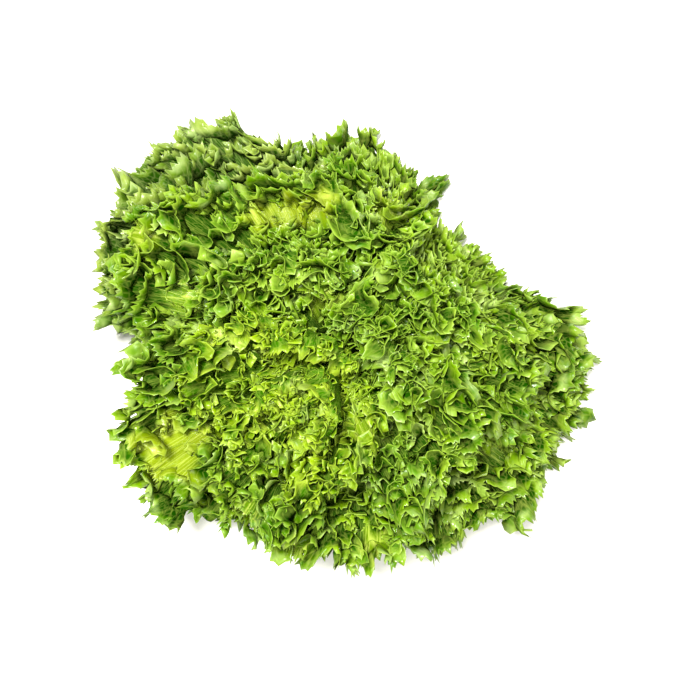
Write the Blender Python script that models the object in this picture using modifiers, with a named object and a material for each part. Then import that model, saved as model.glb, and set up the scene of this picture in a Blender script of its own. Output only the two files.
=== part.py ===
"""A frilled iceberg lettuce: one cut head, resting on its cut stem and its lowest leaves.

Metres, +Z up. The origin is the centre of the stem's cut face. Seen from above, +X is the
head's right and +Y its top. Every leaf is one thin closed blade in its own object. The leaves
are nested like bowls round the stem, so that none of them crosses another.
"""

import math
import random

import bmesh
import bpy
import numpy as np
from mathutils import Matrix

# The head: a dome that leans, with the reach of its outer leaves by direction in degrees
HEAD_RADIUS = 0.123
DOME_FOOT = 0.028
DOME_RISE = 0.088
LEAN = (-0.42, -0.50)
REACH = {
    0: 0.137,
    18: 0.098,
    33: 0.083,
    46: 0.083,
    62: 0.114,
    88: 0.116,
    103: 0.110,
    124: 0.152,
    148: 0.162,
    168: 0.147,
    183: 0.116,
    200: 0.150,
    214: 0.151,
    234: 0.124,
    257: 0.122,
    268: 0.116,
    286: 0.138,
    300: 0.130,
    320: 0.143,
    336: 0.144,
    352: 0.147,
}
CROWN_EVENNESS = 0.2

# The stem
STEM_RADIUS = 0.0165
STEM_TIP_RADIUS = 0.0030
STEM_HEIGHT = 0.060
BARE_BUTT = 0.012
STEM_STEPS = 28
STEM_TIP_ROUND = 0.0006
CUT_BEVEL = 0.0012

# The leaves, from the outermost to the innermost
OUTER_AZIMUTHS = (212, 336, 92, 276, 16, 134, 232, 352, 164, 312)
MIDDLE_COUNT = 11
HEART_COUNT = 7
GOLDEN_ANGLE = 137.5
FLOOR_LEAVES = 3
SEED = 3

# How a leaf leaves the stem and where its tip ends, for the outermost and the innermost
ROOT_HEIGHTS = (0.015, 0.056)
ROOT_ANGLES = (-10.0, 84.0)
TIP_POLARS = (-17.0, 86.0)
TIP_ANGLES = (6.0, 90.0)
STEEPENING = 0.8
BOW = 0.36
LENGTH_SPREAD = 0.03
ROOT_GAP = 0.0004
FLOOR_SOFTNESS = 0.0025
FLOOR_SINK = 0.0035

# The outline and thickness of a leaf
ROOT_SPREAD = 0.80
FAN_HALF_ANGLE = math.radians(120)
WIDEST_AT = 0.60
TIP_ROUNDNESS = 0.75
WIDTH_TO_LENGTH = 0.98
MOST_WRAP = math.radians(76)
BLADE = 0.0008
RIB = {"outer_leaf": 0.0023, "middle_leaf": 0.0012, "heart_leaf": 0.0008}
RIB_LENGTH = 0.8
RIB_HALF_TURN = 0.6

# The frill
WAVE_LENGTH = 0.028
WAVE_HEIGHT = 0.0070
FRILL_START = 0.25
FRILL_GROWTH = 1.6
FRILL_RISE = 2.2
FRILL_CALM = 0.90
FULL_FRILL_WIDTH = 0.100
PRESSED = 0.5
TOOTH_DEPTH = 0.0050

# Columns and rows of a leaf's blank, and where its columns double towards the margin
GRIDS = {"outer_leaf": (12, 6), "middle_leaf": (10, 6), "heart_leaf": (7, 5)}
DOUBLE_FROM = (0.45, 0.80)
ROW_CROWDING = 1.35


def clear_scene():
    for item in list(bpy.data.objects):
        bpy.data.objects.remove(item, do_unlink=True)


def between(start, end, share):
    return start + (end - start) * share


def smooth_step(share):
    share = np.clip(share, 0.0, 1.0)
    return share * share * (3.0 - 2.0 * share)


def material(name, colour, roughness):
    made = bpy.data.materials.new(name)
    made.use_nodes = True
    shader = made.node_tree.nodes["Principled BSDF"]
    shader.inputs["Base Color"].default_value = (*colour, 1.0)
    shader.inputs["Roughness"].default_value = roughness
    shader.inputs["Metallic"].default_value = 0.0
    return made


def stem_radius(height):
    """The stem narrows from its bare butt to its growing tip."""
    share = np.clip((height - BARE_BUTT) / (STEM_HEIGHT - BARE_BUTT), 0.0, 1.0)
    return between(STEM_RADIUS, STEM_TIP_RADIUS, share)


def reach_share(azimuth):
    """How far the head reaches in each direction, as a share of its mean radius."""
    directions = [*REACH, 360]
    degrees = np.degrees(azimuth) % 360.0
    share = np.ones_like(degrees)
    for start, end in zip(directions, directions[1:]):
        inside = (degrees >= start) & (degrees <= end)
        along = smooth_step((degrees - start) / (end - start))
        reach = between(REACH[start], REACH[end % 360], along)
        share = np.where(inside, reach / HEAD_RADIUS, share)
    return share


def leaf_list():
    """Every leaf, outermost first. layer and rise run from 0 to 1; rise starts after the
    leaves that lie on the surface."""
    kinds = ["outer_leaf"] * len(OUTER_AZIMUTHS)
    kinds += ["middle_leaf"] * MIDDLE_COUNT + ["heart_leaf"] * HEART_COUNT
    draw = random.Random(SEED)
    leaves = []
    for number, kind in enumerate(kinds):
        if kind == "outer_leaf":
            azimuth = OUTER_AZIMUTHS[number]
        else:
            azimuth += GOLDEN_ANGLE
        place = kinds[: number + 1].count(kind)
        leaves.append(
            {
                "name": f"{kind}_{place:02d}",
                "kind": kind,
                "layer": number / (len(kinds) - 1),
                "rise": max(0, number + 1 - FLOOR_LEAVES) / (len(kinds) - FLOOR_LEAVES),
                "azimuth": math.radians(azimuth),
                "phase": draw.uniform(0.0, math.tau),
                "length_share": draw.uniform(1.0 - LENGTH_SPREAD, 1.0 + LENGTH_SPREAD),
            }
        )
    return leaves


def rib_line(leaf):
    """The four control points, (radius, height), of the curve that the leaf's midrib follows."""
    root_height = between(*ROOT_HEIGHTS, leaf["layer"])
    root_angle = math.radians(between(*ROOT_ANGLES, leaf["layer"] ** STEEPENING))
    tip_polar = math.radians(between(*TIP_POLARS, leaf["rise"]))
    tip_angle = math.radians(between(*TIP_ANGLES, leaf["rise"] ** STEEPENING))
    root_radius = stem_radius(root_height - FLOOR_SINK) + ROOT_GAP + 0.5 * RIB[leaf["kind"]]
    root = np.array([root_radius, root_height])
    tip = np.array(
        [HEAD_RADIUS * math.cos(tip_polar), DOME_FOOT + DOME_RISE * math.sin(tip_polar)]
    )
    tip = root + (tip - root) * leaf["length_share"]
    handle = BOW * np.linalg.norm(tip - root)
    leave = np.array([math.cos(root_angle), math.sin(root_angle)]) * handle
    arrive = np.array([math.cos(tip_angle), math.sin(tip_angle)]) * handle
    return root, root + leave, tip - arrive, tip


def along_rib(points, share):
    """Place and direction on the rib line, as (radius, height), at a share of its length."""
    a, b, c, d = points
    s = np.clip(share, 0.0, 1.0)[:, None]
    r = 1.0 - s
    place = a * r**3 + 3 * b * r * r * s + 3 * c * r * s * s + d * s**3
    way = 3 * (b - a) * r * r + 6 * (c - b) * r * s + 3 * (d - c) * s * s
    way = way / np.linalg.norm(way, axis=1)[:, None]
    beyond = (share - 1.0).clip(min=0.0)[:, None] * np.linalg.norm(d - a)
    return place + way * beyond, way


def margin_outline(turn, root_half, half_width, length):
    """The leaf's margin laid flat, an egg that narrows to the root. turn runs from -1 to 1."""
    angle = turn * FAN_HALF_ANGLE
    upper = np.abs(angle) < math.pi / 2
    side = np.abs(np.cos(angle)) ** np.where(upper, TIP_ROUNDNESS, 1.0)
    belly = root_half + (half_width - root_half) * np.sin(angle) ** 2
    across = np.where(upper, half_width * np.sin(angle), np.sign(angle) * belly)
    widest = WIDEST_AT * length
    along = np.where(upper, widest + (length - widest) * side, widest * (1.0 - side))
    return across, along


def frill_lift(leaf, turn, out, share, half_width, length):
    """How far the leaf's surface waves off its smooth form."""
    waves = max(3, round((2.6 * half_width + 1.2 * length) / WAVE_LENGTH))
    size = WAVE_HEIGHT * min(1.0, half_width / FULL_FRILL_WIDTH)
    size *= between(PRESSED, 1.0, min(1.0, 4.0 * leaf["rise"]))
    frill = ((out - FRILL_START) / (1.0 - FRILL_START)).clip(min=0.0) ** FRILL_GROWTH
    frill *= smooth_step(FRILL_RISE * share - FRILL_CALM)
    return size * frill * np.sin(math.pi * waves * turn + leaf["phase"])


def bend_blade(leaf, turn, out):
    """Where each point of the flat blank goes. turn runs round the margin, from -1 to 1, and
    out runs from 0 at the root to 1 at the margin."""
    points = rib_line(leaf)
    length = np.linalg.norm(points[3] - points[0])
    widest_place, _ = along_rib(points, np.array([WIDEST_AT]))
    root_half = ROOT_SPREAD * points[0][0]
    half_width = min(0.5 * WIDTH_TO_LENGTH * length, 1.2 * MOST_WRAP * widest_place[0][0])

    margin_across, margin_along = margin_outline(turn, root_half, half_width, length)
    across = between(turn * root_half, margin_across, out)
    share = margin_along * out / length
    place, way = along_rib(points, share)
    lift = frill_lift(leaf, turn, out, share, half_width, length)
    radius = place[:, 0] - way[:, 1] * lift
    height = place[:, 1] + way[:, 0] * lift

    wrap = across / np.maximum(place[:, 0], root_half)
    azimuth = leaf["azimuth"] + MOST_WRAP * np.tanh(wrap / MOST_WRAP)
    outness = smooth_step(radius / HEAD_RADIUS) * between(1.0, CROWN_EVENNESS, leaf["rise"])
    radius = radius * (1.0 + (reach_share(azimuth) - 1.0) * outness)
    sunk = (height - FLOOR_SINK) / FLOOR_SOFTNESS
    height = FLOOR_SOFTNESS * np.logaddexp(0.0, sunk) + 0.5 * BLADE
    spots = np.stack([radius * np.cos(azimuth), radius * np.sin(azimuth), height], axis=1)
    spots[:, 0] += LEAN[0] * height
    spots[:, 1] += LEAN[1] * height
    return spots


def flat_blank(columns, rows):
    """A flat sheet over turn (x) and out (y), with more columns towards the margin."""
    sheet = bmesh.new()
    bmesh.ops.create_grid(sheet, x_segments=columns, y_segments=rows, size=1.0)
    stretch = Matrix.Translation((0.0, 0.5, 0.0)) @ Matrix.Diagonal((1.0, 0.5, 1.0, 1.0))
    bmesh.ops.transform(sheet, matrix=stretch, verts=sheet.verts)
    for point in sheet.verts:
        point.co.y = 1.0 - (1.0 - point.co.y) ** ROW_CROWDING
    for start in DOUBLE_FROM:
        level = [
            edge
            for edge in sheet.edges
            if edge.verts[0].co.y > start
            and abs(edge.verts[0].co.y - edge.verts[1].co.y) < 1e-6
        ]
        bmesh.ops.subdivide_edges(sheet, edges=level, cuts=1, use_grid_fill=True)
    return sheet


def cut_teeth(sheet, leaf, length):
    """Draws every other point of the margin inwards, so that the edge is toothed."""
    draw = random.Random(leaf["name"])
    margin = sorted((p for p in sheet.verts if p.co.y > 0.999), key=lambda p: p.co.x)
    for number, point in enumerate(margin):
        depth = TOOTH_DEPTH / length * draw.uniform(0.7, 1.2)
        point.co.y += 0.25 * depth if number % 2 else -0.75 * depth


def add_leaf(leaf, blank, finish, collection):
    sheet = blank.copy()
    points = rib_line(leaf)
    cut_teeth(sheet, leaf, np.linalg.norm(points[3] - points[0]))
    bmesh.ops.triangulate(sheet, faces=sheet.faces)
    turn = np.array([point.co.x for point in sheet.verts])
    out = np.array([point.co.y for point in sheet.verts])
    for point, spot in zip(sheet.verts, bend_blade(leaf, turn, out)):
        point.co = spot
    bmesh.ops.recalc_face_normals(sheet, faces=sheet.faces)
    mesh = bpy.data.meshes.new(leaf["name"])
    sheet.to_mesh(mesh)
    sheet.free()
    mesh.materials.append(finish)
    item = bpy.data.objects.new(leaf["name"], mesh)
    collection.objects.link(item)

    rib = RIB[leaf["kind"]]
    thick = item.vertex_groups.new(name="rib")
    for index, (side, away) in enumerate(zip(turn, out)):
        ribbed = max(0.0, 1.0 - away / RIB_LENGTH) * max(0.0, 1.0 - abs(side) / RIB_HALF_TURN)
        thick.add([index], between(BLADE / rib, 1.0, ribbed), "REPLACE")
    wall = item.modifiers.new("wall", "SOLIDIFY")
    wall.thickness = rib
    wall.offset = 0.0
    wall.vertex_group = thick.name


def add_stem(finish, collection):
    """A turned core that narrows upwards from its flat cut face and leans as the head does."""
    outline = [
        (0.0, STEM_HEIGHT),
        (STEM_TIP_RADIUS - STEM_TIP_ROUND, STEM_HEIGHT - STEM_TIP_ROUND),
        (STEM_TIP_RADIUS, STEM_HEIGHT - 4.0 * STEM_TIP_ROUND),
        (STEM_RADIUS, BARE_BUTT),
        (STEM_RADIUS, CUT_BEVEL),
        (STEM_RADIUS - CUT_BEVEL, 0.0),
        (0.0, 0.0),
    ]
    profile = bmesh.new()
    points = [profile.verts.new((radius, 0.0, height)) for radius, height in outline]
    for start, end in zip(points, points[1:]):
        profile.edges.new((start, end))
    mesh = bpy.data.meshes.new("stem_profile")
    profile.to_mesh(mesh)
    profile.free()
    guide = bpy.data.objects.new("stem_profile", mesh)
    collection.objects.link(guide)
    turned = guide.modifiers.new("turned", "SCREW")
    turned.steps = turned.render_steps = STEM_STEPS
    turned.use_merge_vertices = True
    turned.merge_threshold = 0.00005
    graph = bpy.context.evaluated_depsgraph_get()
    solid = bpy.data.meshes.new_from_object(guide.evaluated_get(graph))
    bpy.data.objects.remove(guide, do_unlink=True)
    lean = Matrix.Identity(4)
    lean[0][2], lean[1][2] = LEAN
    solid.transform(lean)
    solid.materials.append(finish)
    collection.objects.link(bpy.data.objects.new("stem", solid))


def main():
    clear_scene()
    head = bpy.data.collections.new("iceberg_lettuce")
    bpy.context.scene.collection.children.link(head)
    finishes = {
        "outer_leaf": material("outer_leaf_green", (0.20, 0.36, 0.05), 0.45),
        "middle_leaf": material("middle_leaf_green", (0.26, 0.44, 0.04), 0.42),
        "heart_leaf": material("heart_leaf_green", (0.42, 0.56, 0.06), 0.42),
    }
    add_stem(material("stem_flesh", (0.66, 0.70, 0.42), 0.5), head)
    blanks = {kind: flat_blank(*grid) for kind, grid in GRIDS.items()}
    for leaf in leaf_list():
        add_leaf(leaf, blanks[leaf["kind"]], finishes[leaf["kind"]], head)
    for blank in blanks.values():
        blank.free()


main()
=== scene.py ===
# %% [markdown]
# A head of frilled iceberg lettuce, cut and laid down, seen from straight above. Twenty-eight
# leaves grow in a spiral from one short stem. A leaf starts as a smooth fan, but its edge grows
# much faster than the rest, and a sheet with too long an edge has to buckle: first into broad
# waves, then into curls on the waves, then into crimps on the curls. Last of all the edge is
# cut into lobes and small sharp teeth.
#
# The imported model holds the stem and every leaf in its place, with the broad waves and a plain
# toothed edge. This script bends much finer sheets over the same forms. It adds the curls, the
# crimps, the folds that crowd the blade, the veins and the colours, and it finishes the stem.

# %% Load the frame
import math
import random

import bmesh
import bpy
import numpy as np
from mathutils import Matrix


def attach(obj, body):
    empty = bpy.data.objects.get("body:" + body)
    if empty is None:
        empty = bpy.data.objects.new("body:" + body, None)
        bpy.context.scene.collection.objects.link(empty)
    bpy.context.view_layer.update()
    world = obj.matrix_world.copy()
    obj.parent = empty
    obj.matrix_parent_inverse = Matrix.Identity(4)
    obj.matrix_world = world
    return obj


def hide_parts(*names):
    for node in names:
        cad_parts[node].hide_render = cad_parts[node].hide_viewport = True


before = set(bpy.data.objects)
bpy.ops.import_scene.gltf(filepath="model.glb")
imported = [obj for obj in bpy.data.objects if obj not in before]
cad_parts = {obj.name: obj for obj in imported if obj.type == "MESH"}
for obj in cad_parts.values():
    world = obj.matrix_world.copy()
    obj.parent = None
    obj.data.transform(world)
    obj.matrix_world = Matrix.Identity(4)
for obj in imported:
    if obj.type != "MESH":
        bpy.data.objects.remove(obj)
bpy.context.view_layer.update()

# %% [markdown]
# Everything is in metres. The smooth form of the head is a dome that leans towards the
# picture's lower left and reaches further in some directions than in others, because the outer
# leaves have been spread by hand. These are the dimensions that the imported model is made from,
# and the leaves below are built from them again, so each fine leaf lies where its plain one is.

# %% The head's form
HEAD_RADIUS = 0.123
DOME_FOOT = 0.028
DOME_RISE = 0.088
LEAN = (-0.42, -0.50)
REACH = {
    0: 0.137,
    18: 0.098,
    33: 0.083,
    46: 0.083,
    62: 0.114,
    88: 0.116,
    103: 0.110,
    124: 0.152,
    148: 0.162,
    168: 0.147,
    183: 0.116,
    200: 0.150,
    214: 0.151,
    234: 0.124,
    257: 0.122,
    268: 0.116,
    286: 0.138,
    300: 0.130,
    320: 0.143,
    336: 0.144,
    352: 0.147,
}
CROWN_EVENNESS = 0.2
STEM_RADIUS = 0.0165
STEM_TIP_RADIUS = 0.0030
STEM_HEIGHT = 0.060
BARE_BUTT = 0.012


def between(start, end, share):
    return start + (end - start) * share


def smooth_step(share):
    share = np.clip(share, 0.0, 1.0)
    return share * share * (3.0 - 2.0 * share)


def stem_radius(height):
    share = np.clip((height - BARE_BUTT) / (STEM_HEIGHT - BARE_BUTT), 0.0, 1.0)
    return between(STEM_RADIUS, STEM_TIP_RADIUS, share)


def by_direction(table, azimuth):
    """A value given for some directions in degrees, smoothly changing between them."""
    directions = [*table, 360]
    degrees = np.degrees(azimuth) % 360.0
    value = np.zeros_like(degrees)
    for start, end in zip(directions, directions[1:]):
        inside = (degrees >= start) & (degrees <= end)
        along = smooth_step((degrees - start) / (end - start))
        value = np.where(inside, between(table[start], table[end % 360], along), value)
    return value


print("the head reaches from", min(REACH.values()), "to", max(REACH.values()), "m off its stem")

# %% [markdown]
# A lettuce sets each new leaf about 137.5 degrees round from the last one, so that no leaf
# shades the one just below it. The outer leaves have been pushed about in handling, so their
# directions are written down one by one. Layer and rise both run from the outermost leaf to the
# innermost one, and rise starts after the leaves that lie flat on the surface.

# %% The spiral of leaves
OUTER_AZIMUTHS = (212, 336, 92, 276, 16, 134, 232, 352, 164, 312)
MIDDLE_COUNT = 11
HEART_COUNT = 7
GOLDEN_ANGLE = 137.5
FLOOR_LEAVES = 3
SEED = 3
LENGTH_SPREAD = 0.03


def leaf_list():
    kinds = ["outer_leaf"] * len(OUTER_AZIMUTHS)
    kinds += ["middle_leaf"] * MIDDLE_COUNT + ["heart_leaf"] * HEART_COUNT
    draw = random.Random(SEED)
    leaves = []
    for number, kind in enumerate(kinds):
        if kind == "outer_leaf":
            azimuth = OUTER_AZIMUTHS[number]
        else:
            azimuth += GOLDEN_ANGLE
        place = kinds[: number + 1].count(kind)
        leaves.append(
            {
                "name": f"{kind}_{place:02d}",
                "kind": kind,
                "layer": number / (len(kinds) - 1),
                "rise": max(0, number + 1 - FLOOR_LEAVES) / (len(kinds) - FLOOR_LEAVES),
                "azimuth": math.radians(azimuth),
                "phase": draw.uniform(0.0, math.tau),
                "length_share": draw.uniform(1.0 - LENGTH_SPREAD, 1.0 + LENGTH_SPREAD),
            }
        )
    return leaves


leaves = leaf_list()
print(len(leaves), "leaves, from", leaves[0]["name"], "to", leaves[-1]["name"])

# %% [markdown]
# A leaf's backbone is its midrib. It could be drawn leaf by leaf, but on a real head the
# midribs change little by little, from flat on the outside to upright in the heart. So one
# rule gives them all: a curve with four control points that leaves the stem at one angle and
# meets the dome at another, and both angles grow with the leaf's place in the spiral.

# %% The midrib
ROOT_HEIGHTS = (0.015, 0.056)
ROOT_ANGLES = (-10.0, 84.0)
TIP_POLARS = (-17.0, 86.0)
TIP_ANGLES = (6.0, 90.0)
STEEPENING = 0.8
BOW = 0.36
ROOT_SINK = 0.0006
FLOOR_SOFTNESS = 0.0025
FLOOR_SINK = 0.0035


def rib_line(leaf):
    """The control points of the midrib, as radius and height."""
    root_height = between(*ROOT_HEIGHTS, leaf["layer"])
    root_angle = math.radians(between(*ROOT_ANGLES, leaf["layer"] ** STEEPENING))
    tip_polar = math.radians(between(*TIP_POLARS, leaf["rise"]))
    tip_angle = math.radians(between(*TIP_ANGLES, leaf["rise"] ** STEEPENING))
    root = np.array([stem_radius(root_height - FLOOR_SINK) - ROOT_SINK, root_height])
    tip = np.array(
        [HEAD_RADIUS * math.cos(tip_polar), DOME_FOOT + DOME_RISE * math.sin(tip_polar)]
    )
    tip = root + (tip - root) * leaf["length_share"]
    handle = BOW * np.linalg.norm(tip - root)
    leave = np.array([math.cos(root_angle), math.sin(root_angle)]) * handle
    arrive = np.array([math.cos(tip_angle), math.sin(tip_angle)]) * handle
    return root, root + leave, tip - arrive, tip


def along_rib(points, share):
    """Place and direction on the midrib, at a share of its length."""
    a, b, c, d = points
    s = np.clip(share, 0.0, 1.0)[:, None]
    r = 1.0 - s
    place = a * r**3 + 3 * b * r * r * s + 3 * c * r * s * s + d * s**3
    way = 3 * (b - a) * r * r + 6 * (c - b) * r * s + 3 * (d - c) * s * s
    way = way / np.linalg.norm(way, axis=1)[:, None]
    beyond = (share - 1.0).clip(min=0.0)[:, None] * np.linalg.norm(d - a)
    return place + way * beyond, way


# %% [markdown]
# Laid flat, a leaf is an egg that narrows to its root. Two numbers find any point on it: turn
# runs round the edge from -1 to 1, and out runs from 0 at the root to 1 at the edge. All the
# frills and all the patterns below are written in those two numbers, because a real leaf also
# grows its frill round its edge and its veins out from its root.

# %% The leaf laid flat
ROOT_SPREAD = 0.80
FAN_HALF_ANGLE = math.radians(120)
WIDEST_AT = 0.60
TIP_ROUNDNESS = 0.75
WIDTH_TO_LENGTH = 0.98
MOST_WRAP = math.radians(76)
WRAP_ROOM = 1.2
EDGE_BY_WIDTH, EDGE_BY_LENGTH = 2.6, 1.2


def measure(leaf):
    """Adds the leaf's midrib, its length, its half widths and the length of its edge."""
    points = rib_line(leaf)
    length = np.linalg.norm(points[3] - points[0])
    widest_place, _ = along_rib(points, np.array([WIDEST_AT]))
    most_half = WRAP_ROOM * MOST_WRAP * widest_place[0][0]
    leaf["points"] = points
    leaf["length"] = length
    leaf["root_half"] = ROOT_SPREAD * points[0][0]
    leaf["half_width"] = min(0.5 * WIDTH_TO_LENGTH * length, most_half)
    leaf["edge_length"] = EDGE_BY_WIDTH * leaf["half_width"] + EDGE_BY_LENGTH * length


def margin_outline(leaf, turn):
    angle = turn * FAN_HALF_ANGLE
    upper = np.abs(angle) < math.pi / 2
    side = np.abs(np.cos(angle)) ** np.where(upper, TIP_ROUNDNESS, 1.0)
    belly = between(leaf["root_half"], leaf["half_width"], np.sin(angle) ** 2)
    across = np.where(upper, leaf["half_width"] * np.sin(angle), np.sign(angle) * belly)
    widest = WIDEST_AT * leaf["length"]
    along = np.where(upper, widest + (leaf["length"] - widest) * side, widest * (1.0 - side))
    return across, along


def blade_width(leaf, turn):
    """How far the edge is from the root, measured along the blade."""
    across, along = margin_outline(leaf, turn)
    return np.hypot(across - turn * leaf["root_half"], along)


for leaf in leaves:
    measure(leaf)
print("the longest leaf is", round(1000 * max(leaf["length"] for leaf in leaves)), "mm")

# %% [markdown]
# The blade is the flat leaf wrapped round the stem's axis and raised on its midrib. Its broad
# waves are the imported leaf's own: one every 28 mm of edge, at most 7 mm high at the tip, and
# none near the root, where leaves lie packed together. Where a leaf would dip through the
# surface that the head lies on, a soft limit presses it flat instead.

# %% The broad form of a leaf
WAVE_LENGTH = 0.028
WAVE_HEIGHT = 0.0070
FRILL_START = 0.25
FRILL_GROWTH = 1.6
FRILL_RISE = 2.2
FRILL_CALM = 0.90
FULL_FRILL_WIDTH = 0.100
PRESSED = 0.5
PRESSED_SHARE = 0.25
BLADE = 0.0005


def broad_lift(leaf, turn, out, share):
    waves = max(3, round(leaf["edge_length"] / WAVE_LENGTH))
    size = WAVE_HEIGHT * min(1.0, leaf["half_width"] / FULL_FRILL_WIDTH)
    size *= between(PRESSED, 1.0, min(1.0, leaf["rise"] / PRESSED_SHARE))
    frill = ((out - FRILL_START) / (1.0 - FRILL_START)).clip(min=0.0) ** FRILL_GROWTH
    frill *= smooth_step(FRILL_RISE * share - FRILL_CALM)
    return size * frill * np.sin(math.pi * waves * turn + leaf["phase"])


def broad_form(leaf):
    """The blade as a surface: a function from turn and out to points in space."""

    def surface(turn, out):
        margin_across, margin_along = margin_outline(leaf, turn)
        across = between(turn * leaf["root_half"], margin_across, out)
        share = margin_along * out / leaf["length"]
        place, way = along_rib(leaf["points"], share)
        lift = broad_lift(leaf, turn, out, share)
        radius = place[:, 0] - way[:, 1] * lift
        height = place[:, 1] + way[:, 0] * lift
        wrap = across / np.maximum(place[:, 0], leaf["root_half"])
        azimuth = leaf["azimuth"] + MOST_WRAP * np.tanh(wrap / MOST_WRAP)
        outness = smooth_step(radius / HEAD_RADIUS)
        outness = outness * between(1.0, CROWN_EVENNESS, leaf["rise"])
        reach_share = by_direction(REACH, azimuth) / HEAD_RADIUS
        radius = radius * (1.0 + (reach_share - 1.0) * outness)
        sunk = (height - FLOOR_SINK) / FLOOR_SOFTNESS
        height = FLOOR_SOFTNESS * np.logaddexp(0.0, sunk) + 0.5 * BLADE
        x = radius * np.cos(azimuth) + LEAN[0] * height
        y = radius * np.sin(azimuth) + LEAN[1] * height
        return np.stack([x, y, height], axis=1)

    return surface


# %% [markdown]
# Frills are laid on a surface along its own directions: along the edge, out to the edge, and
# off the upper side. Any surface here is a function of turn and out, so its directions come
# from taking a very small step each way. That is simple, and it works just as well on a surface
# that has frills already, which is how crimps sit on curls and curls sit on waves.

# %% Directions on a surface
STEP = 1e-4
RATE_SPREAD = (0.8, 1.2)


def unit(vectors):
    return vectors / np.maximum(np.linalg.norm(vectors, axis=1), 1e-12)[:, None]


def directions(surface, turn, out):
    """A point of a surface, and there the ways along the edge, out to it and off the leaf."""
    spot = surface(turn, out)
    along = unit(surface(turn + STEP, out) - spot)
    outward = unit(surface(turn, out + STEP) - spot)
    return spot, along, outward, unit(np.cross(outward, along))


def slow_noise(turn, draw, rates):
    """A calm curve over turn, from about -1 to 1, made of a sine for each rate."""
    total = 0.0
    for rate in rates:
        rate = rate * draw.uniform(*RATE_SPREAD)
        total = total + np.sin(rate * turn + draw.uniform(0.0, math.tau))
    return total / math.sqrt(2.0 * len(rates))


# %% [markdown]
# Here and there no frill hides the blade, and a smooth, veined patch of it shows. The biggest
# is a ripe yellow one at the picture's lower left, and a torn yellow strip crosses the top. A
# patch is given by its middle, its radius and how yellow it is. Its edge is ragged, because
# the frills round it hang over it at five places. The lowest leaves have none.

# %% Smooth patches
PATCHES = (
    (-0.107, -0.073, 0.0130, 1.0),
    (-0.060, 0.053, 0.0066, 1.0),
    (-0.044, 0.056, 0.0072, 1.0),
    (-0.027, 0.060, 0.0066, 1.0),
    (-0.102, 0.007, 0.0075, 0.0),
    (-0.025, 0.007, 0.0060, 0.2),
    (-0.003, -0.063, 0.0060, 0.2),
    (-0.067, -0.105, 0.0055, 0.1),
    (-0.038, -0.124, 0.0060, 0.2),
    (0.010, 0.057, 0.0080, 0.4),
    (0.002, -0.124, 0.0055, 0.3),
    (-0.123, 0.041, 0.0055, 0.4),
    (0.068, -0.070, 0.0070, 0.0),
    (-0.086, -0.065, 0.0050, 0.4),
)
PATCH_FADE = 0.5
PATCH_BOTTOM, PATCH_TOP = 0.020, 0.032
PATCH_RAGGEDNESS = 0.35
OVERHANGS = 5.0
OVERHANG_TURN = 90.0


def calmness(spots):
    """How calm and how yellow the head is at each point, both from 0 to 1."""
    calm = np.zeros(len(spots))
    yellow = np.zeros(len(spots))
    seen = smooth_step((spots[:, 2] - PATCH_BOTTOM) / (PATCH_TOP - PATCH_BOTTOM))
    for x, y, radius, ripeness in PATCHES:
        aside, ahead = spots[:, 0] - x, spots[:, 1] - y
        round_it = OVERHANGS * np.arctan2(ahead, aside) + OVERHANG_TURN * x
        ragged = PATCH_RAGGEDNESS * np.sin(round_it)
        away = np.hypot(aside, ahead) / radius - 1.0 + ragged
        patch = seen * (1.0 - smooth_step(away / PATCH_FADE))
        calm = np.maximum(calm, patch)
        yellow = np.maximum(yellow, ripeness * patch)
    return calm, yellow


print(len(PATCHES), "smooth patches, the widest", 2000 * max(p[2] for p in PATCHES), "mm across")

# %% [markdown]
# A curled edge is more than a sine wave: its sides lean over, so that each curl is a small
# trumpet. A ribbon that buckles bends as a meandering river does, with its direction swinging
# evenly to and fro. That line is close to a wave across the leaf with a wave of twice the rate
# along the edge, and two Bessel functions of the swing give both their sizes. The curls die
# away from the edge inwards, and their length and size wander, because no two are alike.

# %% Curls
CURL_SIZES = (0.92, 0.50)
CURL_LIMITS = (0.15, 1.40)
CURL_RATES = (9.0, 17.0, 31.0, 47.0)
CURL_TAPER = 1.4
CURL_ROOM = 1.6
CURL_CALMED = 0.85
WANDER_RATES = (11.0, 23.0, 39.0, 67.0)
SLANT, SLANT_INWARD, SLANT_ROUND = 0.8, 150.0, 9.0
BESSEL_TERMS = 8


def bessel(order, swing):
    """The Bessel function of the first kind, as a short sum."""
    total = 0.0
    for k in range(BESSEL_TERMS):
        term = (-1.0) ** k / (math.factorial(k) * math.factorial(k + order))
        total += term * (swing / 2.0) ** (2 * k + order)
    return total


def curl(surface, width, edge, length, swing, depth, wander, draw, calmed):
    """surface with curls of that length along an edge that is edge long. Their direction
    swings by that many degrees, and they reach as deep as depth from the edge. width gives the
    distance from the sheet's foot to its edge."""
    most = math.radians(swing)
    height = length * bessel(1, most) / (math.pi * bessel(0, most))
    sway = length * bessel(2, most) / (math.tau * bessel(0, most))
    waves = max(4, round(edge / length))
    seed = draw.random()

    def curled(turn, out):
        mix = random.Random(seed)
        spot, along, outward, normal = directions(surface, turn, out)
        wide = width(turn)
        away = (1.0 - out).clip(min=0.0) * wide
        size = CURL_SIZES[0] + CURL_SIZES[1] * slow_noise(turn, mix, CURL_RATES)
        fade = np.exp(-((away / depth) ** CURL_TAPER))
        fade = fade * smooth_step(CURL_ROOM * out * wide / depth)
        fade = fade * size.clip(*CURL_LIMITS)
        if calmed:
            fade = fade * (1.0 - CURL_CALMED * calmness(spot)[0])
        drift = wander * slow_noise(turn, mix, WANDER_RATES)
        drift = drift + SLANT * np.sin(SLANT_INWARD * away + SLANT_ROUND * turn)
        angle = math.pi * waves * turn + math.tau * seed + drift
        across = normal * (height * fade * np.sin(angle))[:, None]
        aside = along * (sway * fade * np.sin(2.0 * angle))[:, None]
        return spot + across - aside

    return curled


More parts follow.
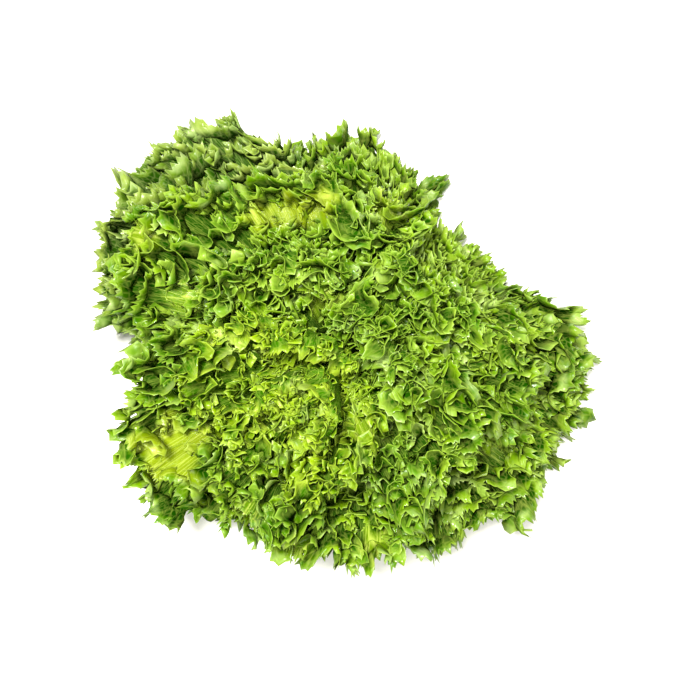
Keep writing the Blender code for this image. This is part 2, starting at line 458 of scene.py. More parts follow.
# %% [markdown]
# A frill is curls along the edge, with crimps a third as long laid on the curls. Both go a
# little less deep than they are long. A leaf's own frill stays low in the smooth patches.

# %% A frill
CURL_SWING = 104.0
CURL_WANDER = 2.6
CRIMP_SHARE = 0.36
CRIMP_SWING = 60.0
CRIMP_WANDER = 1.6
DEPTH_SHARE = 0.9


def frill(surface, width, edge, length, draw, calmed=False):
    depth = DEPTH_SHARE * length
    curled = curl(surface, width, edge, length, CURL_SWING, depth, CURL_WANDER, draw, calmed)
    crimp = CRIMP_SHARE * length
    depth = DEPTH_SHARE * crimp
    return curl(curled, width, edge, crimp, CRIMP_SWING, depth, CRIMP_WANDER, draw, calmed)


# %% [markdown]
# Seen from above, such a head shows hardly any flat leaf. The blade near its edge is so crowded
# that it throws up folds, and each fold has a curled and toothed crest of its own. So a leaf
# here has a few folds, one behind another. A fold stands on a line that wanders over the blade.
# The outermost ones lean out over the edge, and the ones behind them stand up more, but every
# fold sways to and fro, so that its curls open in all directions.

# %% Folds that stand on a blade
FOLD_SIZES = (0.92, 0.55)
FOLD_LIMITS = (0.32, 1.45)
FOOT_LIMITS = (0.12, 0.985)
FOOT_WANDER = 0.05
FOOT_RATES = (7.0, 15.0, 26.0, 41.0, 63.0)
FOLD_RATES = (7.0, 15.0, 24.0)
FOLD_SWAY = 0.85
SWAY_RATES = (8.0, 19.0, 37.0, 71.0)
LEAN_AT_FOOT = 0.35
FOLD_ENDS = 0.12
FOLD_CALMED = 0.95
FOLD_SINK = 0.0001
LEAST_FOLD = 0.0002


def fold_row(surface, foot_at, height, lean, draw):
    """A fold on the blade at that share of the way to its edge, as a surface over turn and
    out, and the fold's height as a function of turn."""
    seed = draw.random()

    def foot(turn):
        mix = random.Random(seed + 1.0)
        place = foot_at + FOOT_WANDER * slow_noise(turn, mix, FOOT_RATES)
        return place.clip(*FOOT_LIMITS)

    def rise(turn):
        mix = random.Random(seed)
        high = FOLD_SIZES[0] + FOLD_SIZES[1] * slow_noise(turn, mix, FOLD_RATES)
        ends = smooth_step((1.0 - np.abs(turn)) / FOLD_ENDS)
        calm, _ = calmness(surface(turn, foot(turn)))
        return height * high.clip(*FOLD_LIMITS) * ends * (1.0 - FOLD_CALMED * calm) + LEAST_FOLD

    def fold(turn, out):
        mix = random.Random(seed + 2.0)
        spot, along, outward, normal = directions(surface, turn, foot(turn))
        sway = FOLD_SWAY * slow_noise(turn, mix, SWAY_RATES)
        tilt = math.radians(lean) * between(LEAN_AT_FOOT, 1.0, out) + sway
        way = normal * np.cos(tilt)[:, None] + outward * np.sin(tilt)[:, None]
        return spot + way * (rise(turn) * out)[:, None] - normal * FOLD_SINK

    return fold, rise


# %% [markdown]
# The sheets that are bent start as flat grids over turn and out. A frill needs many points
# along the edge and few at the root, so the rows crowd towards the edge, and the columns are
# doubled a few times on the way out. One blank serves all the leaves of a kind.

# %% The flat blanks
BLADE_ROWS = (0.0, 0.17, 0.32, 0.46, 0.58, 0.68, 0.76, 0.82, 0.87, 0.91, 0.94, 0.97, 1.0)
BLADE_DOUBLES = (0.50, 0.72, 0.90)
BLADE_COLUMNS = {"outer_leaf": 34, "middle_leaf": 30, "heart_leaf": 20}
FOLD_ROWS = (0.0, 0.36, 0.63, 0.84, 1.0)
FOLD_DOUBLES = (0.5, 0.9)
FOLD_COLUMNS = {"outer_leaf": 128, "middle_leaf": 116, "heart_leaf": 76}


def flat_blank(columns, rows, double_from):
    """A flat sheet, and how many columns it has at its edge."""
    sheet = bmesh.new()
    bmesh.ops.create_grid(sheet, x_segments=columns, y_segments=len(rows) - 1, size=1.0)
    for point in sheet.verts:
        point.co.y = rows[round((point.co.y + 1.0) / 2.0 * (len(rows) - 1))]
    for start in double_from:
        level = [
            edge
            for edge in sheet.edges
            if edge.verts[0].co.y > start
            and abs(edge.verts[0].co.y - edge.verts[1].co.y) < 1e-6
        ]
        bmesh.ops.subdivide_edges(sheet, edges=level, cuts=1, use_grid_fill=True)
    bmesh.ops.triangulate(sheet, faces=sheet.faces)
    bmesh.ops.reverse_faces(sheet, faces=sheet.faces)
    mesh = bpy.data.meshes.new("blank")
    sheet.to_mesh(mesh)
    sheet.free()
    return mesh, columns * 2 ** len(double_from)


blade_blanks = {
    kind: flat_blank(columns, BLADE_ROWS, BLADE_DOUBLES)
    for kind, columns in BLADE_COLUMNS.items()
}
fold_blanks = {
    kind: flat_blank(columns, FOLD_ROWS, FOLD_DOUBLES) for kind, columns in FOLD_COLUMNS.items()
}
for kind in BLADE_COLUMNS:
    counts = [len(blanks[kind][0].polygons) for blanks in (blade_blanks, fold_blanks)]
    print(kind, "blade", counts[0], "and fold", counts[1], "triangles a side")

# %% [markdown]
# The edge is cut twice: into round lobes, and the lobes into points. Last come the teeth, the
# smallest cuts, one at every other point of the sheet's edge, so that none of them is lost
# between two points. The blade's own edge is also drawn in a little, under the folds.

# %% Lobes, points and teeth
BLADE_EDGE = {
    "lobe": 0.0110,
    "lobe_depth": 0.0040,
    "point": 0.0040,
    "point_depth": 0.0012,
    "drawn_in": 0.0040,
}
FOLD_EDGE = {
    "lobe": 0.0060,
    "lobe_depth": 0.0042,
    "point": 0.0021,
    "point_depth": 0.0018,
    "drawn_in": 0.0,
}
TOOTH_HEIGHT = 0.0028
TOOTH_SPREAD = (0.35, 1.2)
CUT_REACH = 0.0075
POINT_REACH = 0.4 * CUT_REACH
FULL_CUT_WIDTH, LEAST_CUT = 0.012, 0.1
LOBE_RATES, POINT_RATES = (9.0, 20.0, 31.0), (21.0, 47.0)
CUT_SWAY = 1.5
LOBE_LEVEL, POINT_LEVEL = 0.7, 0.4
TOOTH_UP, TOOTH_DOWN = 0.6, -0.4
LEAST_WIDTH = 0.002
LEAST_LEFT = 0.3
EDGE_ROW = 0.999


def cut_edge(turn, out, width, edge, columns, cuts, draw):
    """out, drawn in between the lobes and points of the edge and between its teeth."""
    wide = np.maximum(width(turn), LEAST_WIDTH)
    sway = CUT_SWAY * slow_noise(turn, draw, LOBE_RATES)
    lobe = np.abs(np.sin(0.5 * math.pi * edge / cuts["lobe"] * turn + sway)) - LOBE_LEVEL
    sway = CUT_SWAY * slow_noise(turn, draw, POINT_RATES)
    point = POINT_LEVEL - np.abs(np.sin(0.5 * math.pi * edge / cuts["point"] * turn + sway))
    number = np.rint((turn + 1.0) / 2.0 * columns).astype(int)
    heights = np.array([draw.uniform(*TOOTH_SPREAD) for _ in range(columns + 2)])
    tooth = np.where(number % 2 == 0, TOOTH_UP, TOOTH_DOWN) * heights[number]
    deep = smooth_step(1.0 - (1.0 - out) * wide / CUT_REACH)
    short = smooth_step(1.0 - (1.0 - out) * wide / POINT_REACH)
    cut = deep * (cuts["lobe_depth"] * lobe - cuts["drawn_in"])
    cut = cut + short * cuts["point_depth"] * point
    cut = cut + np.where(out > EDGE_ROW, TOOTH_HEIGHT * tooth, 0.0)
    cut = cut * smooth_step(wide / FULL_CUT_WIDTH + LEAST_CUT) / wide
    return np.maximum(out + cut, LEAST_LEFT * out)


# %% [markdown]
# Materials are built from nodes. One function adds a node: its inputs take a value, or the
# output of another node, which is then linked. Colours are written as hex values, as a colour
# picker gives them, and Blender wants them linear, so another function turns them.

# %% Colours and nodes
def colour(text):
    parts = [int(text[at : at + 2], 16) / 255.0 for at in (1, 3, 5)]
    return [*(p / 12.92 if p <= 0.04045 else ((p + 0.055) / 1.055) ** 2.4 for p in parts), 1.0]


def node(tree, kind, inputs=(), **settings):
    made = tree.nodes.new(kind)
    for name, value in settings.items():
        setattr(made, name, value)
    for name, value in dict(inputs).items():
        if isinstance(value, bpy.types.NodeSocket):
            tree.links.new(value, made.inputs[name])
        else:
            made.inputs[name].default_value = value
    return made


def empty_material(name):
    made = bpy.data.materials.new(name)
    made.use_nodes = True
    made.node_tree.nodes.clear()
    return made, made.node_tree


# %% [markdown]
# Leaf tissue is thin, wet and green, and light shines through it. Its upper face has a waxy
# skin, so it is the glossier side; the back is paler and duller. The green goes from light to
# dark in clouds about 24 mm wide, and in smaller spots it is painted paler, a painted sheen that
# stands in for glints on the waxy skin. Pale veins run out from the root in a branching net, with
# a finer net between them, and the tissue between the finest ones bulges up. The last millimetre
# of the edge is thinner and lighter, and its pale colour is partly a painted highlight.
# And within a few millimetres of the edge the colour is darkened and the gloss is taken off.
# That is painted shade, for the little light that gets down between the frills, and it starts
# sooner in some clumps of frill than in others. Veins and the painted shade are drawn on the
# leaf's own map, in metres along its edge and in from it, so they follow the leaf round every
# curl.

# %% Leaf tissue
RIB_CELL = (0.0065, 0.050)
RIB_WIDTH = 0.08
NET_CELL = (0.0020, 0.0038)
NET_WIDTH = 0.16
SHADE_PATCH = 0.024
# One speck noise places both the painted sheen and the clumps of painted shade.
SHEEN_AND_SHADE_SPECK = 0.014
GLOSS_PATCH = 0.011
GRAIN = 0.0024
BUMP_HEIGHT = 0.0006
# Painted shade: from here to there in from the edge the tissue is darkened and loses its gloss,
# less in the smooth patches.
PAINTED_SHADE_FROM, PAINTED_SHADE_TO = 0.0013, 0.0062
SHADE_CLUMP_SHIFT = 0.0030
# The pale edge is partly thinner tissue and partly a painted highlight.
PALE_GLINT_FROM, PALE_GLINT_TO = 0.0001, 0.0009
SHADE_CLUMP_RANGE = (0.35, 0.65)
PAINTED_SHADE_IN_PATCH = 0.35
RIBS_IN_FRILL, RIBS_IN_PATCH, NET_STRENGTH = 0.3, 1.5, 0.25
RIPE_MOST = 0.75
PALE_GLINT_MOST = 0.35
SHADE_RANGE = (0.38, 0.62)
# Painted sheen: pale spots that stand in for glints on the waxy skin.
PAINTED_SHEEN_RANGE, PAINTED_SHEEN_MOST = (0.56, 0.72), 0.48
GLOSS_RANGE, SMOOTHER_BY, ROUGHER_BY = (0.3, 0.7), 0.08, 0.10
BUMP_STRENGTH = 0.3
LEAF_IOR = 1.45
RIPE = "#8fa00e"
PAINTED_SHEEN = "#bcd088"


def vein_net(tree, flat, cell, width):
    """A net of lines on the leaf's map, 1 on the lines, with meshes of the size of cell."""
    grid = node(
        tree, "ShaderNodeMapping", {"Vector": flat, "Scale": (1.0 / cell[0], 1.0 / cell[1], 1.0)}
    )
    meshes = node(
        tree, "ShaderNodeTexVoronoi", {"Vector": grid.outputs[0], "Scale": 1.0},
        feature="DISTANCE_TO_EDGE",
    )
    return node(
        tree, "ShaderNodeMapRange", {0: meshes.outputs["Distance"], 2: width, 3: 1.0, 4: 0.0}
    ).outputs[0]


def tissue(name, tones, rough, glow, veins=0.5):
    """A leaf's skin. tones are its colours: face, shade, hollow (painted shade), edge (partly a
    painted highlight) and vein.
    """
    face, shade, hollow, rim, vein = (colour(tone) for tone in tones)
    made, tree = empty_material(name)
    place = node(tree, "ShaderNodeTexCoord").outputs["Object"]
    flat = node(tree, "ShaderNodeUVMap", uv_map="leaf").outputs[0]
    inward = node(tree, "ShaderNodeSeparateXYZ", {0: flat}).outputs[1]
    patch = node(tree, "ShaderNodeUVMap", uv_map="patch").outputs[0]
    calm, yellow, _ = node(tree, "ShaderNodeSeparateXYZ", {0: patch}).outputs

    ribs = vein_net(tree, flat, RIB_CELL, RIB_WIDTH)
    net = vein_net(tree, flat, NET_CELL, NET_WIDTH)
    # Painted shade: how dark the hollows are painted, full in the frill and less in the smooth
    # patches.
    painted_shade_most = node(tree, "ShaderNodeMapRange", {0: calm, 3: 1.0, 4: PAINTED_SHADE_IN_PATCH}).outputs[0]
    sheen_and_shade_specks = node(
        tree, "ShaderNodeTexNoise", {0: place, "Scale": 1.0 / SHEEN_AND_SHADE_SPECK}
    ).outputs[0]
    # Clumps move where the painted shade starts, nearer to or further from the edge.
    low, high = SHADE_CLUMP_RANGE
    shade_clump = node(
        tree, "ShaderNodeMapRange", {0: sheen_and_shade_specks, 1: low, 2: high, 3: SHADE_CLUMP_SHIFT, 4: -SHADE_CLUMP_SHIFT}
    ).outputs[0]
    sunk = node(tree, "ShaderNodeMath", {0: inward, 1: shade_clump}, operation="ADD").outputs[0]
    depth = node(
        tree, "ShaderNodeMapRange", {0: sunk, 1: PAINTED_SHADE_FROM, 2: PAINTED_SHADE_TO, 4: painted_shade_most}
    ).outputs[0]
    clear = node(
        tree, "ShaderNodeMapRange", {0: calm, 3: RIBS_IN_FRILL * veins, 4: RIBS_IN_PATCH * veins}
    ).outputs[0]
    ribbed = node(tree, "ShaderNodeMapRange", {0: ribs, 4: clear}).outputs[0]
    netted = node(tree, "ShaderNodeMapRange", {0: net, 4: NET_STRENGTH * veins}).outputs[0]
    ripe = node(tree, "ShaderNodeMapRange", {0: yellow, 4: RIPE_MOST}).outputs[0]
    # Pale edge: partly thinner tissue, partly a painted highlight along the rim.
    edge = node(
        tree, "ShaderNodeMapRange", {0: inward, 1: PALE_GLINT_FROM, 2: PALE_GLINT_TO, 3: PALE_GLINT_MOST, 4: 0.0}
    ).outputs[0]
    clouds = node(
        tree, "ShaderNodeTexNoise", {0: place, "Scale": 1.0 / SHADE_PATCH}
    ).outputs[0]
    low, high = SHADE_RANGE
    shaded = node(tree, "ShaderNodeMapRange", {0: clouds, 1: low, 2: high}).outputs[0]
    # Painted sheen: pale spots that stand in for glints on the waxy skin.
    low, high = PAINTED_SHEEN_RANGE
    sheen_share = node(
        tree, "ShaderNodeMapRange", {0: sheen_and_shade_specks, 1: low, 2: high, 4: PAINTED_SHEEN_MOST}
    ).outputs[0]

    tint = face
    for share, tone in (
        (shaded, shade),
        (sheen_share, colour(PAINTED_SHEEN)),
        (depth, hollow),
        (ripe, colour(RIPE)),
        (netted, vein),
        (ribbed, vein),
        (edge, rim),
    ):
        tint = node(tree, "ShaderNodeMix", {0: share, 6: tint, 7: tone}, data_type="RGBA")
        tint = tint.outputs[2]

    grain = node(tree, "ShaderNodeTexNoise", {0: place, "Scale": 1.0 / GRAIN, "Detail": 3.0})
    pucker = node(tree, "ShaderNodeMath", {0: grain.outputs[0], 1: net}, operation="SUBTRACT")
    bump = node(
        tree,
        "ShaderNodeBump",
        {"Strength": BUMP_STRENGTH, "Distance": BUMP_HEIGHT, "Height": pucker.outputs[0]},
    ).outputs[0]
    gloss = node(
        tree, "ShaderNodeTexNoise", {0: place, "Scale": 1.0 / GLOSS_PATCH}
    ).outputs[0]
    low, high = GLOSS_RANGE
    skin_rough = node(
        tree,
        "ShaderNodeMapRange",
        {0: gloss, 1: low, 2: high, 3: rough - SMOOTHER_BY, 4: rough + ROUGHER_BY},
    ).outputs[0]
    skin = node(
        tree,
        "ShaderNodeBsdfPrincipled",
        {
            "Base Color": tint,
            "Roughness": skin_rough,
            "IOR": LEAF_IOR,
            "Normal": bump,
        },
    )
    through = node(tree, "ShaderNodeBsdfTranslucent", {"Color": tint, "Normal": bump})
    both = node(
        tree, "ShaderNodeMixShader", {0: glow, 1: skin.outputs[0], 2: through.outputs[0]}
    )
    # In the painted shade a dull shader of the same colour takes over, so the gloss goes too.
    deep = node(tree, "ShaderNodeBsdfDiffuse", {"Color": tint, "Normal": bump})
    whole = node(tree, "ShaderNodeMixShader", {0: depth, 1: both.outputs[0], 2: deep.outputs[0]})
    node(tree, "ShaderNodeOutputMaterial", {"Surface": whole.outputs[0]})
    return made


# %% [markdown]
# The leaves go from dull olive at the outside, where they are oldest, through fresh green to
# the yellow green of the heart, which has seen the least sun. Each age has a waxy face and a
# duller back, and they all share the thin cut edge. The colours run from the lit face through
# the shaded one and the hollow, which is painted shade, to the pale edge, which is partly a
# painted highlight, and the veins.

# %% The leaves' colours
# Each row: face, shade, hollow (painted shade), pale edge (partly a painted highlight) and vein.
TONES = {
    "outer_leaf": (
        ("#7ca20e", "#4c7a04", "#123800", "#a8c050", "#bcc85c"),
        ("#88a83c", "#5e8418", "#1c4204", "#a8c050", "#bcc85c"),
    ),
    "middle_leaf": (
        ("#7ea606", "#4c7e00", "#123c00", "#aac848", "#bccc58"),
        ("#8aac30", "#5e8e0e", "#1e4a02", "#aac848", "#bccc58"),
    ),
    "heart_leaf": (
        ("#98bc06", "#6a9800", "#2a5600", "#bcd440", "#c8d45c"),
        ("#9cb828", "#709808", "#326002", "#bcd440", "#c8d45c"),
    ),
    "older_leaf": (
        ("#8ca438", "#64861c", "#204204", "#acbe74", "#b8c474"),
        ("#90a854", "#6a8c34", "#2a4c0e", "#acbe74", "#b8c474"),
    ),
}
FACE_ROUGHNESS = {"outer_leaf": 0.29, "middle_leaf": 0.27, "heart_leaf": 0.27, "older_leaf": 0.30}
BACK_DULLER_BY, BACK_DIMMER_BY = 0.10, 0.02
GLOW = {"outer_leaf": 0.24, "middle_leaf": 0.26, "heart_leaf": 0.30, "older_leaf": 0.24}
OLDER_LEAVES = ("outer_leaf_06", "outer_leaf_09", "outer_leaf_01")
EDGE_TONES = ("#8aae24", "#7aa01c", "#7aa01c", "#9cbc40", "#9cbc40")
EDGE_ROUGHNESS, EDGE_GLOW = 0.45, 0.28

tissues = {}
for age, (face_tones, back_tones) in TONES.items():
    rough, glow = FACE_ROUGHNESS[age], GLOW[age]
    duller, dimmer = rough + BACK_DULLER_BY, glow - BACK_DIMMER_BY
    tissues[age] = (
        tissue(age + "_waxy_face", face_tones, rough, glow),
        tissue(age + "_matt_back", back_tones, duller, dimmer),
    )
edge_tissue = tissue("leaf_thin_edge", EDGE_TONES, EDGE_ROUGHNESS, EDGE_GLOW, veins=0.0)
print(2 * len(tissues) + 1, "kinds of leaf tissue")

# %% [markdown]
# To bend a blank, every one of its points is sent through a surface. Its map is laid at the
# same time, in metres, and a second map keeps how calm and how yellow each point is. What
# would go through the surface that the head lies on is pressed flat on it, and the crown is
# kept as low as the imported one. Last, the frill is pushed out or drawn in along the head's
# outline, by 14 mm at most, where the leaves of this head spread or bunch up.

# %% Bend a blank
FLOOR_PRESS = 0.0008
CROWN_LIMIT = 0.1175
CROWN_PRESS = 0.0015
HEAD_MIDDLE = (-0.025, -0.021)
SPREAD_FROM, SPREAD_FULL = 0.055, 0.115
SPREAD = {
    0: -0.005,
    20: -0.013,
    38: -0.010,
    50: -0.003,
    66: -0.014,
    84: -0.003,
    102: -0.006,
    120: 0.001,
    138: 0.005,
    162: -0.001,
    186: 0.005,
    204: 0.001,
    240: -0.007,
    258: 0.006,
    276: -0.010,
    300: 0.003,
    312: -0.007,
    330: 0.004,
    348: -0.006,
}


def settle(spots):
    """Presses points off the floor and under the crown, and spreads the outline."""
    x, y = spots[:, 0] - HEAD_MIDDLE[0], spots[:, 1] - HEAD_MIDDLE[1]
    away = np.hypot(x, y)
    full = smooth_step((away - SPREAD_FROM) / (SPREAD_FULL - SPREAD_FROM))
    push = full * by_direction(SPREAD, np.arctan2(y, x)) / np.maximum(away, SPREAD_FROM)
    height = spots[:, 2]
    height = CROWN_LIMIT - CROWN_PRESS * np.logaddexp(0.0, (CROWN_LIMIT - height) / CROWN_PRESS)
    height = FLOOR_PRESS * np.logaddexp(0.0, height / FLOOR_PRESS) + 0.5 * BLADE
    return np.stack([spots[:, 0] + x * push, spots[:, 1] + y * push, height], axis=1)


def bend(blank, columns, surface, width, edge, cuts, draw):
    """A bent and toothed copy of a blank, and each point's place on the way out."""
    mesh = blank.copy()
    points = np.empty(len(mesh.vertices) * 3, np.float32)
    mesh.vertices.foreach_get("co", points)
    turn, out = points.reshape(-1, 3)[:, :2].astype(float).T
    spots = settle(surface(turn, cut_edge(turn, out, width, edge, columns, cuts, draw)))
    corners = np.empty(len(mesh.loops), np.int32)
    mesh.loops.foreach_get("vertex_index", corners)
    maps = {
        "leaf": np.stack([turn * edge, (1.0 - out) * width(turn)], axis=1),
        "patch": np.stack(calmness(spots), axis=1),
    }
    for name, values in maps.items():
        layer = mesh.uv_layers.new(name=name)
        layer.data.foreach_set("uv", values[corners].astype(np.float32).ravel())
    mesh.vertices.foreach_set("co", spots.astype(np.float32).ravel())
    mesh.update()
    return mesh, out


# %% [markdown]
# A leaf is one piece: its frilled blade and the folds that stand on it. Curls are about 11 mm
# long on the outside of the head and 8 mm in the heart, and most folds stand about as high.
# The sheets have no thickness yet. Solidify gives them half a millimetre, tapering to less
# than half of that at the edge, with the duller tissue on the back and the edge's own tissue
# round the rim.

# %% Bend every leaf
CURLS = {"outer_leaf": 0.0112, "middle_leaf": 0.0105, "heart_leaf": 0.0080}
FOLD_CURL_SHARE = 0.95
FOLD_HEIGHTS = {"outer_leaf": 0.0125, "middle_leaf": 0.0122, "heart_leaf": 0.0095}
FOLDS = {
    "outer_leaf": {0.92: 60, 0.86: 46, 0.80: 36, 0.735: 30, 0.66: 25, 0.57: 20},
    "middle_leaf": {0.93: 50, 0.865: 40, 0.79: 31, 0.705: 24, 0.61: 18, 0.49: 11, 0.36: 5},
    "heart_leaf": {0.93: 38, 0.82: 28, 0.70: 20, 0.58: 12, 0.45: 6, 0.32: 0},
}
EDGE_THICKNESS = 0.4


def sheets_of(leaf, draw):
    """The blade and the folds of a leaf, bent and toothed."""
    kind, edge, form = leaf["kind"], leaf["edge_length"], broad_form(leaf)

    def width(turn):
        return blade_width(leaf, turn)

    blade = frill(form, width, edge, CURLS[kind], draw, calmed=True)
    sheets = [bend(*blade_blanks[kind], blade, width, edge, BLADE_EDGE, draw)]
    for foot_at, lean in FOLDS[kind].items():
        fold, rise = fold_row(form, foot_at, FOLD_HEIGHTS[kind], lean, draw)
        crest = edge * foot_at
        fold = frill(fold, rise, crest, FOLD_CURL_SHARE * CURLS[kind], draw)
        sheets.append(bend(*fold_blanks[kind], fold, rise, crest, FOLD_EDGE, draw))
    return sheets


def thicken(piece, outs):
    """Gives the sheets their thickness, less at the edge."""
    thick = piece.vertex_groups.new(name="thickness")
    thick.add(np.flatnonzero(outs < EDGE_ROW).tolist(), 1.0, "REPLACE")
    thick.add(np.flatnonzero(outs >= EDGE_ROW).tolist(), EDGE_THICKNESS, "REPLACE")
    wall = piece.modifiers.new("thickness", "SOLIDIFY")
    wall.thickness = BLADE
    wall.offset = 0.0
    wall.vertex_group = thick.name
    wall.material_offset = 1
    wall.material_offset_rim = 2


def add_piece(name, mesh, materials):
    mesh.name = name
    mesh.shade_smooth()
    for made in materials:
        mesh.materials.append(made)
    piece = bpy.data.objects.new(name, mesh)
    bpy.context.scene.collection.objects.link(piece)
    return piece


def add_leaf(leaf):
    sheets = sheets_of(leaf, random.Random(leaf["name"]))
    whole = bmesh.new()
    for sheet, _ in sheets:
        whole.from_mesh(sheet)
    mesh = bpy.data.meshes.new(leaf["name"])
    whole.to_mesh(mesh)
    whole.free()
    age = "older_leaf" if leaf["name"] in OLDER_LEAVES else leaf["kind"]
    piece = add_piece(leaf["name"] + "_frilled", mesh, (*tissues[age], edge_tissue))
    thicken(piece, np.concatenate([out for _, out in sheets]))
    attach(piece, "root")
    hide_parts(leaf["name"])
    return piece


pieces = [add_leaf(leaf) for leaf in leaves]
print(len(pieces), "frilled leaves")

# %% [markdown]
# Solidify doubles the triangles and adds the rims, so they are counted on the finished pieces.

# %% Count the triangles
graph = bpy.context.evaluated_depsgraph_get()
counts = []
for piece in pieces:
    finished = piece.evaluated_get(graph)
    counts.append(sum(len(face.vertices) - 2 for face in finished.data.polygons))
print("triangles in all", sum(counts), "and in the largest leaf", max(counts))

# %% [markdown]
# The stem shows only from below, where the knife went through it. It is a leaning cone, so
# its outline is spun round its axis: a few points down its side, cut into shorter stretches.
# Then the knife's face is dished a little and gets its strokes, and the side gets the low,
# winding ridges that the roots of the leaves leave on it.

# %% Turn the stem
STEM_SIDES = 48
STEM_CUTS = 9
CUT_BEVEL = 0.0012
CUT_DISH = 0.0004
KNIFE_STROKE = 0.0014
STROKE_DEPTH, STROKE_SLANT = 0.2, 0.3
RIDGE = 0.0005
RIDGES_ROUND = 3
RIDGE_TWIST = 900.0

stem_shape = bmesh.new()
outline = (
    (0.0, 0.0),
    (STEM_RADIUS - CUT_BEVEL, 0.0),
    (STEM_RADIUS, CUT_BEVEL),
    (STEM_RADIUS, BARE_BUTT),
    (STEM_TIP_RADIUS, STEM_HEIGHT - STEM_TIP_RADIUS),
    (0.0, STEM_HEIGHT),
)
corners = [stem_shape.verts.new((radius, 0.0, height)) for radius, height in outline]
stretches = [stem_shape.edges.new(pair) for pair in zip(corners, corners[1:])]
bmesh.ops.subdivide_edges(stem_shape, edges=stretches, cuts=STEM_CUTS)
bmesh.ops.spin(
    stem_shape,
    geom=[*stem_shape.verts, *stem_shape.edges],
    cent=(0.0, 0.0, 0.0),
    axis=(0.0, 0.0, 1.0),
    angle=math.tau,
    steps=STEM_SIDES,
    use_merge=True,
)
bmesh.ops.remove_doubles(stem_shape, verts=stem_shape.verts, dist=1e-6)
for point in stem_shape.verts:
    x, y, height = point.co
    radius = math.hypot(x, y)
    if height < 1e-6:
        inner = max(0.0, 1.0 - radius / (STEM_RADIUS - CUT_BEVEL))
        stroke = math.sin(math.tau * (x + STROKE_SLANT * y) / KNIFE_STROKE)
        point.co.z = CUT_DISH * inner * (1.0 + STROKE_DEPTH * stroke)
    elif radius > STEM_TIP_RADIUS:
        azimuth = math.atan2(y, x)
        winding = math.sin(RIDGES_ROUND * azimuth + RIDGE_TWIST * height)
        grown = 1.0 + RIDGE / STEM_RADIUS * (winding - 1.0)
        point.co.x, point.co.y = x * grown, y * grown
lean = Matrix.Identity(4)
lean[0][2], lean[1][2] = LEAN
bmesh.ops.transform(stem_shape, matrix=lean, verts=stem_shape.verts)
bmesh.ops.recalc_face_normals(stem_shape, faces=stem_shape.faces)
for face in stem_shape.faces:
    face.material_index = int(face.calc_center_median().z < 0.5 * CUT_DISH)
stem_mesh = bpy.data.meshes.new("stem")
stem_shape.to_mesh(stem_mesh)
stem_shape.free()
print("the stem has", len(stem_mesh.polygons), "faces")

# %% [markdown]
# Lettuce stem is firm, wet flesh. Its side is pale green with fine fibres along it. The cut
# face shows a cream pith, then a greener ring of vessels that bleed a white milk, and the milk
# turns brown in patches as it dries. Rings are drawn by the distance from the stem's axis.

# %% Stem flesh
FIBRE = (0.0010, 0.0010, 0.012)
FIBRE_RANGE = (0.35, 0.65)
SIDE_TONES = ("#b4c274", "#d6dca8")
SIDE_ROUGHNESS = 0.42
PITH_EDGE, RING_EDGE = 0.0085, 0.0125
PITH, VESSELS, DRIED_MILK = "#e2e4b8", "#b6c478", "#a87a40"
BROWNING_PATCH = 0.0045
BROWNING_RANGE, BROWNING_MOST = (0.48, 0.66), 0.75
WET_RANGE, WET_ROUGHNESS = (0.3, 0.7), (0.25, 0.5)


def stem_side():
    made, tree = empty_material("lettuce_stem_side")
    place = node(tree, "ShaderNodeTexCoord").outputs["Object"]
    drawn = node(
        tree, "ShaderNodeMapping", {"Vector": place, "Scale": tuple(1.0 / size for size in FIBRE)}
    )
    fibres = node(tree, "ShaderNodeTexNoise", {0: drawn.outputs[0], "Scale": 1.0}).outputs[0]
    low, high = FIBRE_RANGE
    share = node(tree, "ShaderNodeMapRange", {0: fibres, 1: low, 2: high}).outputs[0]
    dark, light = (colour(tone) for tone in SIDE_TONES)
    tint = node(tree, "ShaderNodeMix", {0: share, 6: dark, 7: light}, data_type="RGBA")
    bump = node(
        tree, "ShaderNodeBump", {"Strength": 0.4, "Distance": 0.0004, "Height": fibres}
    )
    flesh = node(
        tree,
        "ShaderNodeBsdfPrincipled",
        {
            "Base Color": tint.outputs[2],
            "Roughness": SIDE_ROUGHNESS,
            "IOR": LEAF_IOR,
            "Normal": bump.outputs[0],
        },
    )
    node(tree, "ShaderNodeOutputMaterial", {"Surface": flesh.outputs[0]})
    return made


def stem_cut():
    made, tree = empty_material("lettuce_stem_knife_cut")
    place = node(tree, "ShaderNodeTexCoord").outputs["Object"]
    level = node(tree, "ShaderNodeMapping", {"Vector": place, "Scale": (1.0, 1.0, 0.0)})
    off_axis = node(
        tree, "ShaderNodeVectorMath", {0: level.outputs[0]}, operation="LENGTH"
    ).outputs["Value"]
    ring = node(tree, "ShaderNodeMapRange", {0: off_axis, 1: PITH_EDGE, 2: RING_EDGE}).outputs[0]
    blots = node(
        tree, "ShaderNodeTexNoise", {0: place, "Scale": 1.0 / BROWNING_PATCH, "Detail": 4.0}
    ).outputs[0]
    low, high = BROWNING_RANGE
    brown = node(
        tree, "ShaderNodeMapRange", {0: blots, 1: low, 2: high, 4: BROWNING_MOST}
    ).outputs[0]
    tint = colour(PITH)
    for share, tone in ((ring, VESSELS), (brown, DRIED_MILK)):
        tint = node(
            tree, "ShaderNodeMix", {0: share, 6: tint, 7: colour(tone)}, data_type="RGBA"
        ).outputs[2]
    low, high = WET_RANGE
    smooth, rough = WET_ROUGHNESS
    wet = node(
        tree, "ShaderNodeMapRange", {0: blots, 1: low, 2: high, 3: smooth, 4: rough}
    ).outputs[0]
    bump = node(tree, "ShaderNodeBump", {"Strength": 0.3, "Distance": 0.0003, "Height": blots})
    flesh = node(
        tree,
        "ShaderNodeBsdfPrincipled",
        {"Base Color": tint, "Roughness": wet, "IOR": LEAF_IOR, "Normal": bump.outputs[0]},
    )
    node(tree, "ShaderNodeOutputMaterial", {"Surface": flesh.outputs[0]})
    return made


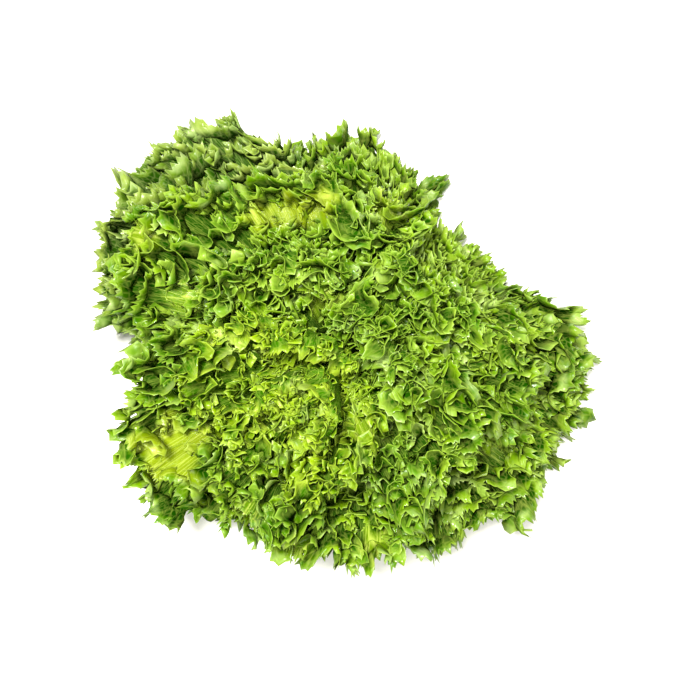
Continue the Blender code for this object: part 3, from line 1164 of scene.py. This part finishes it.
stem = add_piece("stem_turned", stem_mesh, (stem_side(), stem_cut()))
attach(stem, "root")
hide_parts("stem")
print("the stem carries", [made.name for made in stem.data.materials])

# %% [markdown]
# The stage is a sheet of white paper under soft lamps, as for a picture in a shop's catalogue.
# Sun lamps stand for far ones, so the paper is evenly white as far as any camera sees. The key
# lamp is almost overhead, so shadows stay under the head, and it looks narrow enough to draw
# glints on the waxy leaves. The fill lamp looks wide and softens the shadows.

# %% Floor and light
FLOOR_SIZE = 12.0
PAPER = "#f6f6f4"
PAPER_GRAIN = 0.0025
PAPER_ROUGHNESS = (0.85, 0.95)
SKY_TINT = (1.0, 0.97, 0.88, 1.0)
SKY_STRENGTH = 0.20
LAMP_TINT = (1.0, 0.98, 0.92)

paper, tree = empty_material("white_paper")
pulp = node(
    tree,
    "ShaderNodeTexNoise",
    {0: node(tree, "ShaderNodeTexCoord").outputs["Object"], "Scale": 1.0 / PAPER_GRAIN},
)
smooth, rough = PAPER_ROUGHNESS
paper_rough = node(tree, "ShaderNodeMapRange", {0: pulp.outputs[0], 3: smooth, 4: rough})
sheet_shader = node(
    tree,
    "ShaderNodeBsdfPrincipled",
    {"Base Color": colour(PAPER), "Roughness": paper_rough.outputs[0]},
)
node(tree, "ShaderNodeOutputMaterial", {"Surface": sheet_shader.outputs[0]})

floor_shape = bmesh.new()
bmesh.ops.create_grid(floor_shape, x_segments=1, y_segments=1, size=FLOOR_SIZE)
floor_mesh = bpy.data.meshes.new("floor")
floor_shape.to_mesh(floor_mesh)
floor_shape.free()
floor = add_piece("floor", floor_mesh, (paper,))

sky = bpy.data.worlds.new("studio")
sky.use_nodes = True
sky.node_tree.nodes["Background"].inputs["Color"].default_value = SKY_TINT
sky.node_tree.nodes["Background"].inputs["Strength"].default_value = SKY_STRENGTH
bpy.context.scene.world = sky


def lamp(name, spot, spread, strength):
    """A far lamp that shines from spot towards the stem and looks spread degrees wide."""
    light = bpy.data.lights.new(name, "SUN")
    light.angle = math.radians(spread)
    light.energy = strength
    light.color = LAMP_TINT
    holder = bpy.data.objects.new(name, light)
    holder.location = spot
    holder.rotation_euler = (-holder.location).to_track_quat("-Z", "Y").to_euler()
    bpy.context.scene.collection.objects.link(holder)
    print(name, "lamp,", strength, "W a square metre,", spread, "degrees wide")


lamp("key", (-0.25, 0.35, 1.5), 14.0, 7.6)
lamp("fill", (0.50, -0.30, 1.5), 40.0, 2.2)

# %% [markdown]
# The camera looks straight down through a long lens, so that the head's sides don't spread.

# %% Camera
AIM = (-0.0113, -0.020)
CAMERA_HEIGHT = 0.95
LENS = 85.0
SENSOR_WIDTH = 36.0

camera = bpy.data.cameras.new("camera")
camera.lens = LENS
camera.sensor_width = SENSOR_WIDTH
holder = bpy.data.objects.new("camera", camera)
holder.location = (*AIM, CAMERA_HEIGHT)
bpy.context.scene.collection.objects.link(holder)
bpy.context.scene.camera = holder
bpy.context.scene.view_settings.view_transform = "Standard"
print("the camera hangs", CAMERA_HEIGHT, "m up with a", LENS, "mm lens")
